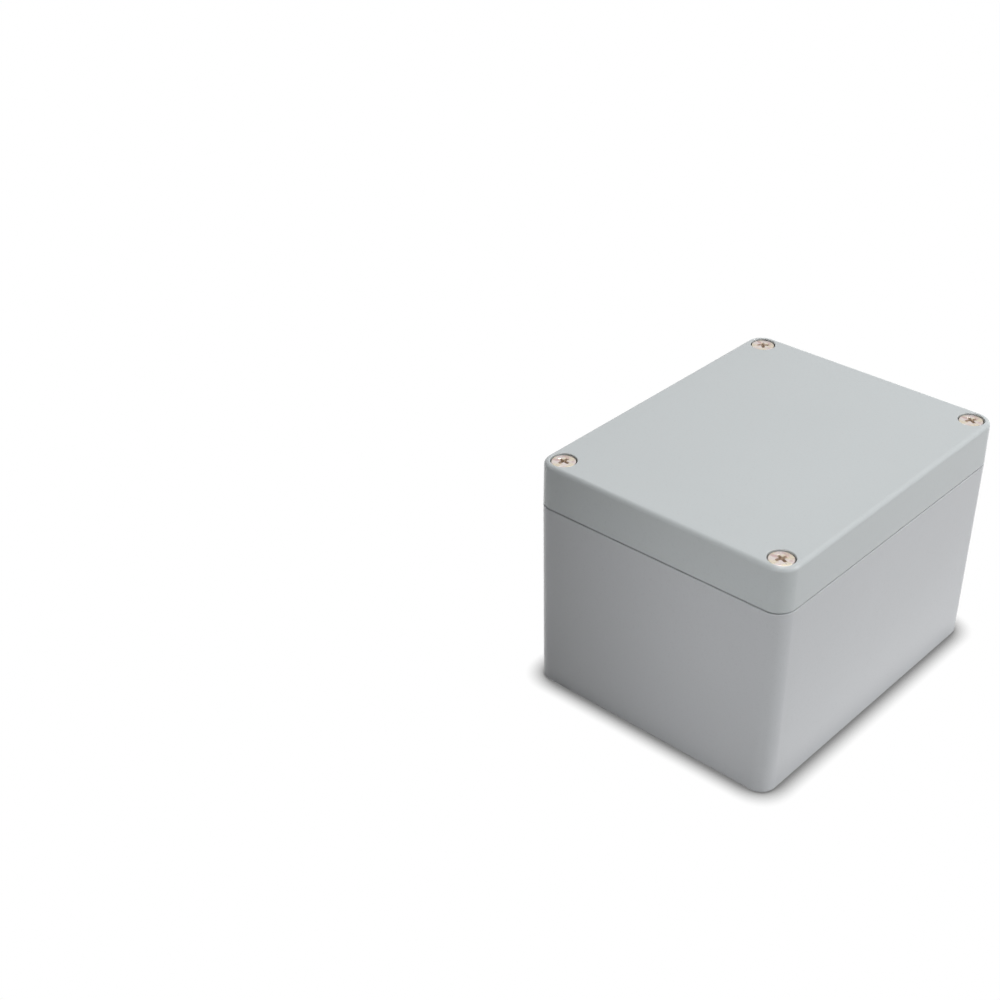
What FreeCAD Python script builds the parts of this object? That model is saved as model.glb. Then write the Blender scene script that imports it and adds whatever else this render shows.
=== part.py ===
import FreeCAD, Part
import enum
import math
import os
import Sketcher

# A sealed ABS enclosure of 90 x 115 x 80 mm: a deep base and a shallow lid that
# meet at a thin seam, a gasket in the lid's groove, and four screws that go down
# through the lid's corners into brass inserts in the base's corner columns.
# The origin is the middle of the underside. X is the width, Y the length, +Z up.

# Driving dimensions, in millimetres and degrees: alias, number, what it is.
DIMENSIONS = (
    ("BoxWidth", 90, "outside width along X, at the seam"),
    ("BoxLength", 115, "outside length along Y, at the seam"),
    ("BoxHeight", 80, "outside height, base and lid together"),
    ("LidHeight", 15, "height of the lid above the seam"),
    ("CornerRadius", 6, "radius of the upright outer corners"),
    ("DraftAngle", 0.5, "draft of the outer walls, in degrees"),
    ("WallThickness", 3, "side walls of the base"),
    ("FloorThickness", 3, "floor of the base"),
    ("RoofThickness", 3, "top of the lid"),
    ("TopRounding", 1.4, "radius round the lid's top edge"),
    ("BottomChamfer", 0.8, "chamfer round the base's bottom edge"),
    ("SeamGap", 0.35, "height of the shadow gap between lid and base"),
    ("SeamChamfer", 0.2, "chamfer on the two edges of the shadow gap"),
    ("TongueThickness", 1.4, "thickness of the tongue on the base's rim"),
    ("TongueHeight", 5, "height of the tongue above the seam"),
    ("TongueClearance", 0.25, "space on each side of the tongue in the groove"),
    ("LidRibThickness", 1.2, "thickness of the rib inside the lid's groove"),
    ("InnerBlend", 1.2, "smallest radius beside a corner post, inside the lid"),
    ("GasketHeight", 1.5, "height of the gasket above the tongue"),
    ("GasketClearance", 0.1, "space on each side of the gasket in the groove"),
    ("WellWall", 1.8, "wall between a screw well and the side of the box"),
    ("HeadDiameter", 7.6, "screw head across"),
    ("HeadHeight", 2.8, "screw head, from its seat to its top"),
    ("HeadChamfer", 0.6, "chamfer round the top of the screw head"),
    ("HeadClearance", 0.4, "space round the screw head in its well"),
    ("HeadSink", 0.3, "how far the screw head's top lies below the lid's top"),
    ("WellRim", 0.2, "least flat between a well's mouth and the top's rounding"),
    ("ShankDiameter", 3.9, "outside of the screw's M4 thread"),
    ("ShankClearance", 0.3, "space round the screw in the lid"),
    ("ScrewLength", 16, "screw, from under its head to its end"),
    ("RecessSpan", 4.4, "cross recess, from tip to tip"),
    ("RecessWidth", 1.1, "width of a wing of the cross recess"),
    ("RecessDepth", 1.9, "depth of the cross recess"),
    ("InsertFlats", 5.6, "hexagonal brass insert, across its flats"),
    ("InsertLength", 8, "length of the brass insert"),
    ("InsertFit", 0.02, "space round the insert in its column"),
    ("ThreadClearance", 0.1, "space round the screw in the insert's thread"),
    ("ColumnWall", 1.4, "wall of a corner column beside an insert's flat"),
    ("InsertBottom", 0.5, "space below the insert in its column"),
    ("FixingDiameter", 3.6, "fixing holes in the underside"),
    ("FixingDepth", 12, "depth of the fixing holes in the underside"),
    ("BossDiameter", 6.5, "circuit board bosses on the floor"),
    ("BossHeight", 6, "circuit board bosses above the floor"),
    ("BossInsetWide", 12.5, "bosses, from the outside of the box along X"),
    ("BossInsetLong", 17.5, "bosses, from the outside of the box along Y"),
    ("BossHole", 2.7, "hole for a 3 mm self-tapping screw in a floor boss"),
    ("BossHoleDepth", 7.5, "depth of the hole in a floor boss"),
    ("GuideDepth", 2, "how far a card guide stands out from the wall"),
    ("GuideThickness", 1.5, "thickness of one rib of a card guide"),
    ("GuideSlot", 1.9, "slot of a card guide, for a 1.6 mm board"),
    ("GuideDrop", 8, "top of the card guides below the seam"),
    ("GuidePitchLong", 25, "card guides on the long walls, one to the next"),
    ("GuideCountLong", 3, "card guides on each long wall"),
    ("GuidePitchWide", 25, "card guides on the short walls, one to the next"),
    ("GuideCountWide", 2, "card guides on each short wall"),
)

# Places and sizes worked out from the driving dimensions.
BASE_HEIGHT = "(Sizes.BoxHeight - Sizes.LidHeight)"
WELL_RADIUS = "(Sizes.HeadDiameter / 2 + Sizes.HeadClearance)"
WELL_DEPTH = "(Sizes.HeadSink + Sizes.HeadHeight)"
SCREW_INSET = f"({WELL_RADIUS} + Sizes.WellWall)"
SCREW_X = f"(Sizes.BoxWidth / 2 - {SCREW_INSET})"
SCREW_Y = f"(Sizes.BoxLength / 2 - {SCREW_INSET})"
SCREW_SEAT = f"(Sizes.BoxHeight - {WELL_DEPTH})"
SCREW_BELOW_SEAM = f"(Sizes.ScrewLength - Sizes.LidHeight + {WELL_DEPTH})"
BOSS_X = "(Sizes.BoxWidth / 2 - Sizes.BossInsetWide)"
BOSS_Y = "(Sizes.BoxLength / 2 - Sizes.BossInsetLong)"
GROOVE_DEPTH = "(Sizes.TongueHeight + Sizes.GasketHeight)"
LID_LEAN = "(Sizes.LidHeight * tan(Sizes.DraftAngle * 1 deg))"
WELL_MARGIN = f"(Sizes.WellWall - Sizes.WellRim - {LID_LEAN})"

# The seal line runs along the walls and bends inwards round each corner column.
# Every edge beside it is a curve parallel to the tongue's outer edge, and is
# named by how far it lies inside that edge.
TONGUE_OUTER = "0"
TONGUE_INNER = "Sizes.TongueThickness"
GROOVE_OUTER = "-Sizes.TongueClearance"
GROOVE_INNER = "(Sizes.TongueThickness + Sizes.TongueClearance)"
GASKET_OUTER = "(Sizes.GasketClearance - Sizes.TongueClearance)"
GASKET_INNER = f"({GROOVE_INNER} - Sizes.GasketClearance)"
LID_CAVITY = f"({GROOVE_INNER} + Sizes.LidRibThickness)"

CORNERS = {
    "front_left": (-1, -1),
    "front_right": (1, -1),
    "back_right": (1, 1),
    "back_left": (-1, 1),
}
# How far each screw happens to be turned, in degrees.
SCREW_TURNS = {"front_left": 85, "front_right": 69, "back_right": 58, "back_left": 38}


class Point(enum.IntEnum):
    """The points of a line, an arc or a circle that a constraint can hold."""

    START = 1
    END = 2
    CENTRE = 3


class Axis(enum.IntEnum):
    """A sketch's own axes."""

    ACROSS = -1
    ALONG = -2


ORIGIN = (Axis.ACROSS, Point.START)
FULL_TURN = 360
SAME = 1e-6

doc = FreeCAD.newDocument("Enclosure")
sheet = doc.addObject("Spreadsheet::Sheet", "Sizes")
for row, (alias, number, meaning) in enumerate(DIMENSIONS, start=1):
    sheet.set(f"A{row}", alias)
    sheet.set(f"B{row}", str(number))
    sheet.setAlias(f"B{row}", alias)
    sheet.set(f"C{row}", meaning)
doc.recompute()


def new_body(label):
    """An empty body for one piece of the enclosure."""
    body = doc.addObject("PartDesign::Body", label)
    body.Label = label
    return body


def plane_of(body, role):
    """One of the body's own origin planes."""
    return {item.Role: item for item in body.Origin.OriginFeatures}[role]


def read(owner, expression):
    """The number that an expression on the sheet comes to."""
    return float(owner.evalExpression(expression))


class Outline:
    """A sketch on a plane of its body, with every measure bound to the sheet."""

    def __init__(self, body, name, height="0", plane="XY_Plane"):
        self.sketch = body.newObject("Sketcher::SketchObject", name)
        self.sketch.AttachmentSupport = [(plane_of(body, plane), "")]
        self.sketch.MapMode = "FlatFace"
        self.sketch.setExpression("AttachmentOffset.Base.z", height)

    def number(self, expression):
        return read(self.sketch, expression)

    def add(self, *shapes):
        """Adds lines and arcs, and returns the number of the first."""
        return self.sketch.addGeometry(list(shapes), False)[0]

    def tie(self, kind, *where):
        self.sketch.addConstraint(Sketcher.Constraint(kind, *where))

    def measure(self, kind, expression, *where):
        """A dimension that follows an expression."""
        size = self.number(expression)
        index = self.sketch.addConstraint(Sketcher.Constraint(kind, *where, size))
        self.sketch.setExpression(f"Constraints[{index}]", expression)

    def place(self, index, end, across, along):
        """Holds a point at a place that is given from the origin."""
        for kind, axis, expression in (
            ("DistanceX", Axis.ALONG, across),
            ("DistanceY", Axis.ACROSS, along),
        ):
            distance = self.number(expression)
            if abs(distance) < SAME:
                self.tie("PointOnObject", index, end, axis)
            elif distance > 0:
                self.measure(kind, expression, *ORIGIN, index, end)
            else:
                self.measure(kind, f"-({expression})", index, end, *ORIGIN)

    def polygon(self, points):
        """A closed run of straight lines through points given as expressions."""
        ends = [
            FreeCAD.Vector(self.number(across), self.number(along), 0)
            for across, along in points
        ]
        lines = [
            Part.LineSegment(here, there) for here, there in zip(ends, ends[1:] + ends[:1])
        ]
        first = self.add(*lines)
        for step, (across, along) in enumerate(points):
            following = first + (step + 1) % len(points)
            self.tie("Coincident", first + step, Point.END, following, Point.START)
            self.place(first + step, Point.START, across, along)

    def circle(self, diameter, across="0", along="0"):
        """A circle about a place."""
        centre = FreeCAD.Vector(self.number(across), self.number(along), 0)
        radius = self.number(diameter) / 2
        index = self.add(Part.Circle(centre, FreeCAD.Vector(0, 0, 1), radius))
        self.place(index, Point.CENTRE, across, along)
        self.measure("Diameter", diameter, index)

    def hexagon(self, flats, across="0", along="0"):
        """A hexagon about a place, with two of its flats upright."""
        side = f"({flats}) / 2"
        tip = f"({flats}) / sqrt(3)"
        shoulder = f"({flats}) / sqrt(12)"
        corners = (
            ("0", f"-{tip}"),
            (side, f"-{shoulder}"),
            (side, shoulder),
            ("0", tip),
            (f"-{side}", shoulder),
            (f"-{side}", f"-{shoulder}"),
        )
        self.polygon([(f"{across} + {right}", f"{along} + {back}") for right, back in corners])

    def in_each_quarter(self, shape, size, across, along):
        """The same shape four times, mirrored about both axes."""
        for right, back in CORNERS.values():
            shape(size, f"{right} * {across}", f"{back} * {along}")

    def rounded_rectangle(self, width, length, radius):
        """A rectangle about the origin, with round corners."""
        bend = self.number(radius)
        halves = (self.number(width) / 2, self.number(length) / 2)
        shapes = []
        for quarter in range(4):
            reach, run = halves if quarter % 2 == 0 else halves[::-1]
            turned = turn_by(quarter)
            start = turned(reach, bend - run)
            shapes.append(Part.LineSegment(start, turned(reach, run - bend)))
            turn = quarter * 90
            shapes.append(arc(turned(reach - bend, run - bend), bend, turn, turn + 90))
        first = self.add(*shapes)
        for quarter in range(4):
            line = first + 2 * quarter
            bend_arc = line + 1
            next_line = first + (2 * quarter + 2) % 8
            self.tie("Tangent", line, Point.END, bend_arc, Point.START)
            self.tie("Tangent", bend_arc, Point.END, next_line, Point.START)
            self.tie("Horizontal" if quarter % 2 else "Vertical", line)
            if quarter:
                self.tie("Equal", first + 1, bend_arc)
        self.tie("Symmetric", first + 1, Point.CENTRE, first + 5, Point.CENTRE, *ORIGIN)
        self.measure("DistanceX", f"{width} / 2", *ORIGIN, first, Point.START)
        self.measure("DistanceY", f"{length} / 2", *ORIGIN, first + 2, Point.START)
        self.measure("Radius", radius, first + 1)

    def seal_loop(self, inside):
        """The seal line's parallel curve this far inside the tongue's outer edge.

        Each quarter is a wall line, a blend, the round of the corner post and a
        second blend, all tangent, and the quarters follow each other round.
        """
        offset = f"(Sizes.WallThickness - Sizes.TongueThickness + {inside})"
        post = f"(Sizes.InsertFlats / 2 + Sizes.ColumnWall + {inside})"
        blend = f"(Sizes.InnerBlend + {LID_CAVITY} - {inside})"
        wall_x = f"(Sizes.BoxWidth / 2 - {offset})"
        wall_y = f"(Sizes.BoxLength / 2 - {offset})"
        walls = (self.number(wall_x), self.number(wall_y))
        posts = (self.number(SCREW_X), self.number(SCREW_Y))
        post_radius = self.number(post)
        blend_radius = self.number(blend)
        reach = post_radius + blend_radius

        shapes = []
        for quarter in range(4):
            wall, side_wall = walls if quarter % 2 == 0 else walls[::-1]
            post_out, post_on = posts if quarter % 2 == 0 else posts[::-1]
            turned = turn_by(quarter)
            out = wall - blend_radius - post_out
            side_out = side_wall - blend_radius - post_on
            back = math.sqrt(reach**2 - out**2)
            side_back = math.sqrt(reach**2 - side_out**2)
            lead = math.degrees(math.atan2(back, -out))
            post_from = math.degrees(math.atan2(side_out, -side_back))
            turn = quarter * 90
            end = post_on - back
            shapes.append(Part.LineSegment(turned(wall, -end), turned(wall, end)))
            shapes.append(arc(turned(wall - blend_radius, end), blend_radius, turn, turn + lead))
            shapes.append(
                arc(turned(post_out, post_on), post_radius, turn + post_from, turn + lead + 180)
            )
            shapes.append(
                arc(
                    turned(post_out - side_back, side_wall - blend_radius),
                    blend_radius,
                    turn + post_from - 180,
                    turn + 90,
                )
            )
        first = self.add(*shapes)
        for quarter in range(4):
            line = first + 4 * quarter
            before, around, after = line + 1, line + 2, line + 3
            next_line = first + (4 * quarter + 4) % 16
            self.tie("Tangent", line, Point.END, before, Point.START)
            self.tie("Tangent", before, Point.END, around, Point.END)
            self.tie("Tangent", around, Point.START, after, Point.START)
            self.tie("Tangent", after, Point.END, next_line, Point.START)
            self.tie("Horizontal" if quarter % 2 else "Vertical", line)
            self.tie("Equal", before, after)
            if quarter:
                self.tie("Equal", first + 1, before)
                self.tie("Equal", first + 2, around)
        self.measure("Radius", blend, first + 1)
        self.measure("Radius", post, first + 2)
        for quarter, (right, back) in enumerate(((1, 1), (-1, 1), (-1, -1), (1, -1))):
            line = first + 4 * quarter
            self.place(line + 2, Point.CENTRE, f"{right} * {SCREW_X}", f"{back} * {SCREW_Y}")
            if quarter == 0:
                self.measure("DistanceX", wall_x, *ORIGIN, line, Point.START)
            elif quarter == 1:
                self.measure("DistanceY", wall_y, *ORIGIN, line, Point.START)
            elif quarter == 2:
                self.measure("DistanceX", wall_x, line, Point.START, *ORIGIN)
            else:
                self.measure("DistanceY", wall_y, line, Point.START, *ORIGIN)


def turn_by(quarter):
    """A function that places a point after this many quarter turns about the origin."""
    cosine, sine = ((1, 0), (0, 1), (-1, 0), (0, -1))[quarter]
    return lambda x, y: FreeCAD.Vector(x * cosine - y * sine, x * sine + y * cosine, 0)


def arc(centre, radius, start, end):
    """An arc that runs anticlockwise between two angles in degrees."""
    circle = Part.Circle(centre, FreeCAD.Vector(0, 0, 1), radius)
    return Part.ArcOfCircle(circle, math.radians(start), math.radians(end))


def add_feature(body, kind, name, profile=None, **bound):
    """A feature of a body, with its sizes bound to expressions."""
    feature = body.newObject(f"PartDesign::{kind}", name)
    if profile is not None:
        feature.Profile = profile.sketch
        profile.sketch.Visibility = False
    for size, expression in bound.items():
        feature.setExpression(size, expression)
    return feature


def pad(body, name, profile, length, taper="0", downwards=False):
    """Grows the body from a sketch."""
    before = volume(body)
    feature = add_feature(body, "Pad", name, profile, Length=length, TaperAngle=taper)
    feature.Reversed = downwards
    doc.recompute()
    if volume(body) <= before:
        raise RuntimeError(f"{body.Label}: {name} adds nothing")
    return feature


def pocket(body, name, profile, depth, upwards=False):
    """Cuts the body from a sketch, down into it or up into it."""
    before = volume(body)
    feature = add_feature(body, "Pocket", name, profile, Length=depth)
    feature.Reversed = upwards
    doc.recompute()
    if volume(body) >= before:
        raise RuntimeError(f"{body.Label}: {name} cuts nothing")
    return feature


def stepped_holes(body, name, profile, diameter, wide, wide_depth):
    """Round holes that go right through from a sketch, with a wider mouth."""
    before = volume(body)
    doc.recompute()
    feature = add_feature(body, "Hole", name, profile)
    feature.ThreadType = "None"
    feature.HoleCutType = "Counterbore"
    feature.HoleCutCustomValues = True
    feature.DepthType = "ThroughAll"
    feature.setExpression("Diameter", diameter)
    feature.setExpression("HoleCutDiameter", wide)
    feature.setExpression("HoleCutDepth", wide_depth)
    doc.recompute()
    if volume(body) >= before:
        raise RuntimeError(f"{body.Label}: {name} cuts nothing")
    return feature


def dress(body, kind, name, height, **bound):
    """A fillet or a chamfer on every edge that lies level at one height."""
    base = body.Tip
    level = read(base, height)
    edges = []
    for number, edge in enumerate(base.Shape.Edges, start=1):
        box = edge.BoundBox
        if box.ZLength < SAME and abs(box.ZMin - level) < SAME:
            edges.append(f"Edge{number}")
    feature = body.newObject(f"PartDesign::{kind}", name)
    feature.Base = (base, edges)
    for dimension, expression in bound.items():
        feature.setExpression(dimension, expression)
    doc.recompute()
    return feature


def volume(body):
    """The body's volume so far."""
    return body.Tip.Shape.Volume if body.Tip else 0.0


def card_guides(body, name, long_walls, pitch, count):
    """A row of upright slots for boards on one wall, and again on the wall that faces it."""
    half = "Sizes.BoxWidth / 2" if long_walls else "Sizes.BoxLength / 2"
    rise = f"({BASE_HEIGHT} - Sizes.FloorThickness - Sizes.GuideDrop)"
    root = f"({half} - Sizes.WallThickness / 2)"
    tip = f"({half} - Sizes.WallThickness - Sizes.GuideDepth)"
    start = f"(-{pitch} * ({count} - 1) / 2)"
    profile = Outline(body, f"{name}Outline", "Sizes.FloorThickness")
    for side in (-1, 1):
        near = f"({start} + {side} * Sizes.GuideSlot / 2)"
        far = f"({start} + {side} * (Sizes.GuideSlot / 2 + Sizes.GuideThickness))"
        corners = ((tip, near), (root, near), (root, far), (tip, far))
        if not long_walls:
            corners = tuple((along, across) for across, along in corners)
        profile.polygon(corners)
    ribs = pad(body, name, profile, rise)

    row = body.newObject("PartDesign::LinearPattern", f"{name}Row")
    row.Direction = (profile.sketch, ["V_Axis" if long_walls else "H_Axis"])
    row.setExpression("Length", f"{pitch} * ({count} - 1)")
    row.setExpression("Occurrences", count)
    facing = body.newObject("PartDesign::Mirrored", f"{name}Facing")
    facing.MirrorPlane = (plane_of(body, "YZ_Plane" if long_walls else "XZ_Plane"), [""])
    both = body.newObject("PartDesign::MultiTransform", f"{name}Both")
    both.Originals = [ribs]
    both.Transformations = [row, facing]
    before = ribs.Shape.Volume
    body.Tip = both
    doc.recompute()
    if volume(body) <= before:
        raise RuntimeError(f"{body.Label}: {name} is not repeated")


def make_base():
    """The deep lower shell, from its outer form to its small features."""
    body = new_body("base")
    outside = Outline(body, "OutsideOutline", BASE_HEIGHT)
    outside.rounded_rectangle("Sizes.BoxWidth", "Sizes.BoxLength", "Sizes.CornerRadius")
    pad(body, "Outside", outside, BASE_HEIGHT, "-Sizes.DraftAngle", downwards=True)
    dress(body, "Chamfer", "BottomEdge", "0", Size="Sizes.BottomChamfer")
    dress(body, "Chamfer", "SeamEdge", BASE_HEIGHT, Size="Sizes.SeamChamfer")

    inside = Outline(body, "InsideOutline", BASE_HEIGHT)
    inside.seal_loop(TONGUE_INNER)
    pocket(body, "Inside", inside, f"{BASE_HEIGHT} - Sizes.FloorThickness")

    tongue = Outline(body, "TongueOutline", BASE_HEIGHT)
    tongue.seal_loop(TONGUE_OUTER)
    tongue.seal_loop(TONGUE_INNER)
    pad(body, "Tongue", tongue, "Sizes.TongueHeight")

    # deep enough for the insert, and for a screw that comes out below it
    seats = Outline(body, "InsertSeatOutline", BASE_HEIGHT)
    seat = "(Sizes.InsertFlats + 2 * Sizes.InsertFit)"
    seats.in_each_quarter(seats.hexagon, seat, SCREW_X, SCREW_Y)
    depth = f"max(Sizes.InsertLength; {SCREW_BELOW_SEAM}) + Sizes.InsertBottom"
    pocket(body, "InsertSeats", seats, depth)

    fixings = Outline(body, "FixingOutline")
    fixings.in_each_quarter(fixings.circle, "Sizes.FixingDiameter", SCREW_X, SCREW_Y)
    pocket(body, "FixingHoles", fixings, "Sizes.FixingDepth", upwards=True)

    bosses = Outline(body, "BossOutline", "Sizes.FloorThickness")
    bosses.in_each_quarter(bosses.circle, "Sizes.BossDiameter", BOSS_X, BOSS_Y)
    pad(body, "Bosses", bosses, "Sizes.BossHeight")
    boss_holes = Outline(body, "BossHoleOutline", "Sizes.FloorThickness + Sizes.BossHeight")
    boss_holes.in_each_quarter(boss_holes.circle, "Sizes.BossHole", BOSS_X, BOSS_Y)
    pocket(body, "BossHoles", boss_holes, "Sizes.BossHoleDepth")

    card_guides(body, "LongWallGuides", True, "Sizes.GuidePitchLong", "Sizes.GuideCountLong")
    card_guides(body, "ShortWallGuides", False, "Sizes.GuidePitchWide", "Sizes.GuideCountWide")
    return body


def make_lid():
    """The shallow upper shell, modelled with its seat on the base at height 0."""
    body = new_body("lid")
    body.setExpression("Placement.Base.z", BASE_HEIGHT)
    outside = Outline(body, "OutsideOutline", "Sizes.SeamGap")
    outside.rounded_rectangle("Sizes.BoxWidth", "Sizes.BoxLength", "Sizes.CornerRadius")
    pad(body, "Outside", outside, "Sizes.LidHeight - Sizes.SeamGap", "-Sizes.DraftAngle")
    rounding = f"min(Sizes.TopRounding; {WELL_MARGIN})"
    dress(body, "Fillet", "TopEdge", "Sizes.LidHeight", Radius=rounding)
    dress(body, "Chamfer", "SeamEdge", "Sizes.SeamGap", Size="Sizes.SeamChamfer")

    inside = Outline(body, "InsideOutline", "Sizes.SeamGap")
    inside.seal_loop(LID_CAVITY)
    depth = "Sizes.LidHeight - Sizes.RoofThickness - Sizes.SeamGap"
    pocket(body, "Inside", inside, depth, upwards=True)

    groove = Outline(body, "GrooveOutline", "Sizes.SeamGap")
    groove.seal_loop(GROOVE_OUTER)
    groove.seal_loop(GROOVE_INNER)
    pocket(body, "Groove", groove, f"{GROOVE_DEPTH} - Sizes.SeamGap", upwards=True)

    # each corner stands on its column, so the lid comes to a stop before the walls meet
    seats = Outline(body, "SeatOutline")
    column = "(Sizes.InsertFlats + 2 * Sizes.ColumnWall - 2 * Sizes.TongueClearance)"
    seats.in_each_quarter(seats.circle, column, SCREW_X, SCREW_Y)
    pad(body, "Seats", seats, "Sizes.SeamGap")

    wells = Outline(body, "WellOutline", "Sizes.LidHeight")
    wells.in_each_quarter(wells.circle, "Sizes.HeadDiameter", SCREW_X, SCREW_Y)
    stepped_holes(
        body,
        "ScrewWells",
        wells,
        "Sizes.ShankDiameter + 2 * Sizes.ShankClearance",
        f"2 * {WELL_RADIUS}",
        WELL_DEPTH,
    )
    return body


def make_gasket():
    """The closed seal ring at the bottom of the lid's groove, which the tongue meets."""
    body = new_body("gasket")
    body.setExpression("Placement.Base.z", f"{BASE_HEIGHT} + Sizes.TongueHeight")
    ring = Outline(body, "RingOutline")
    ring.seal_loop(GASKET_OUTER)
    ring.seal_loop(GASKET_INNER)
    pad(body, "Ring", ring, "Sizes.GasketHeight")
    return body


def put_in_corner(body, corner, height):
    """Places a piece that was made about its own axis on a corner's screw axis."""
    right, back = CORNERS[corner]
    body.setExpression("Placement.Base.x", f"{right} * {SCREW_X}")
    body.setExpression("Placement.Base.y", f"{back} * {SCREW_Y}")
    body.setExpression("Placement.Base.z", height)


def cut_cross_recess(body):
    """The cross in the top of a screw's head."""
    span = "Sizes.RecessSpan / 2"
    wing = "Sizes.RecessWidth / 2"
    quarter = [(span, wing), (wing, wing), (wing, span)]
    points = list(quarter)
    for _ in range(3):
        quarter = [(f"-({along})", across) for across, along in quarter]
        points += quarter
    mouth = Outline(body, "RecessMouth", "Sizes.HeadHeight")
    mouth.polygon(points)
    pocket(body, "Recess", mouth, "Sizes.RecessDepth")


def make_screw(corner):
    """One lid screw, modelled with the seat of its head at height 0."""
    body = new_body(f"lid_screw_{corner}")
    shank = "Sizes.ShankDiameter / 2"
    head = "Sizes.HeadDiameter / 2"
    section = Outline(body, "TurnedSection", plane="XZ_Plane")
    section.polygon(
        (
            ("0", "-Sizes.ScrewLength"),
            (shank, "-Sizes.ScrewLength"),
            (shank, "0"),
            (head, "0"),
            (head, "(Sizes.HeadHeight - Sizes.HeadChamfer)"),
            (f"({head} - Sizes.HeadChamfer)", "Sizes.HeadHeight"),
            ("0", "Sizes.HeadHeight"),
        )
    )
    turned = add_feature(body, "Revolution", "Turned", section)
    turned.ReferenceAxis = (section.sketch, ["V_Axis"])
    turned.Angle = FULL_TURN
    doc.recompute()
    cut_cross_recess(body)
    put_in_corner(body, corner, SCREW_SEAT)
    body.Placement.Rotation = FreeCAD.Rotation(FreeCAD.Vector(0, 0, 1), SCREW_TURNS[corner])
    return body


def make_insert(corner):
    """One hexagonal brass insert, modelled with its top at height 0."""
    body = new_body(f"insert_{corner}")
    section = Outline(body, "HexagonOutline")
    section.hexagon("Sizes.InsertFlats")
    section.circle("(Sizes.ShankDiameter + 2 * Sizes.ThreadClearance)")
    pad(body, "Hexagon", section, "Sizes.InsertLength", downwards=True)
    put_in_corner(body, corner, BASE_HEIGHT)
    return body


pieces = [make_base(), make_lid(), make_gasket()]
for corner in CORNERS:
    pieces.append(make_screw(corner))
    pieces.append(make_insert(corner))
doc.recompute()

for item in doc.Objects:
    if "Invalid" in item.State or "Error" in item.State:
        raise RuntimeError(f"{item.Label} failed: {item.State}")
for piece in pieces:
    if piece.Shape.isNull() or not piece.Shape.isValid() or len(piece.Shape.Solids) != 1:
        raise RuntimeError(f"{piece.Label} is not one valid solid")

os.makedirs("parts", exist_ok=True)
for piece in pieces:
    piece.Shape.exportStep(f"parts/{piece.Label}.step")
    box = piece.Shape.optimalBoundingBox(False)
    print(
        f"{piece.Label}: {piece.Shape.Volume / 1000:.2f} cm3, "
        f"x {box.XMin:.2f} to {box.XMax:.2f}, y {box.YMin:.2f} to {box.YMax:.2f}, "
        f"z {box.ZMin:.2f} to {box.ZMax:.2f}"
    )
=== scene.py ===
import math

import bmesh
import bpy
from bpy.props import FloatProperty, FloatVectorProperty, IntProperty, PointerProperty
from mathutils import Matrix, Quaternion, Vector
from mathutils.geometry import tessellate_polygon


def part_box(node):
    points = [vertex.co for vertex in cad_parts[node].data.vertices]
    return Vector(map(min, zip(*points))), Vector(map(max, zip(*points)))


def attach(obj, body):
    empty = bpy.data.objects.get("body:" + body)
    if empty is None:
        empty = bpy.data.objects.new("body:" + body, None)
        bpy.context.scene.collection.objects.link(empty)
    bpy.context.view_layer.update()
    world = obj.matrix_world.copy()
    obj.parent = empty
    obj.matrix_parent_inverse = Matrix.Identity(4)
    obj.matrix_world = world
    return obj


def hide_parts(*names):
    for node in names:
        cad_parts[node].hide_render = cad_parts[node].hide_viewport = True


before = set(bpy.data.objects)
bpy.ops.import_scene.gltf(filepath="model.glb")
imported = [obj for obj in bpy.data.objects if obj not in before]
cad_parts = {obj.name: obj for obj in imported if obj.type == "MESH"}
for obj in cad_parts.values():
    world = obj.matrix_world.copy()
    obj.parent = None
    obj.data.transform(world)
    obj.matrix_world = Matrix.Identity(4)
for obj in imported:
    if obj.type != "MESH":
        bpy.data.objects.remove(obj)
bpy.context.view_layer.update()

# The looks of a sealed ABS enclosure: two moulded shells, a rubber seal, four
# plated cross-recess screws, four brass inserts, and the studio they stand in.
# Lengths are in metres. A point of a profile has an inset and a height, or a radius
# and a height where the form is round. An inset is how far the point lies inside an
# outline's largest size.

bl_info = {
    "name": "Sealed Enclosure",
    "version": (1, 0, 0),
    "blender": (4, 5, 0),
    "location": "3D View > Sidebar > Enclosure",
    "description": "Builds the looks of a sealed plastic enclosure and its studio",
    "category": "Object",
}

CORNERS = ("front_left", "front_right", "back_right", "back_left")

# Places that the CAD nodes' boxes give.
_, BASE_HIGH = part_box("base")
LID_LOW, LID_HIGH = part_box("lid")
SEAL_LOW, SEAL_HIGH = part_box("gasket")
HALF_WIDTH = BASE_HIGH.x
HALF_LENGTH = BASE_HIGH.y
SEAM = LID_LOW.z
TONGUE_TOP = BASE_HIGH.z
LID_TOP = LID_HIGH.z
GROOVE_TOP = SEAL_HIGH.z

QUARTER = math.pi / 2
HALF_TURN = math.pi
FULL_TURN = 2 * math.pi
MILLIMETRE = 0.001
SAME_PLACE = MILLIMETRE / 1000

# How finely round stretches are divided.
CORNER_STEPS = 14
BLEND_STEPS = 12
POST_STEPS = 14
FILLET_STEPS = 6
CIRCLE_STEPS = 96
TURNED_STEPS = 72
THREAD_ROWS = 8
SHARP_ANGLE = math.radians(32)
FLAT_FACE_WEIGHT = 100

# Forms of the fasteners, as shares of the sizes that they belong to.
CROWN = ((0.1, 0), (1 / 3, 1 / 9), (2 / 3, 4 / 9))
THREAD_SLOPE = 1.25
THREAD_CREST = 0.15
WING_TIP_ROUNDING = 0.6
WING_ROOT_ROUNDING = 0.4
HEAD_FOOT_ROUNDING = 1 / 6
INSERT_EDGE = 1 / 12
# Painted recess shade ends at these shares of the head's radius and the recess's depth.
RECESS_SHADE_ACROSS = (0.62, 0.57)
RECESS_SHADE_TOP = (0.05, 0.25)
RECESS_SHADE_BOTTOM = (1.4, 1.1)

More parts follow.
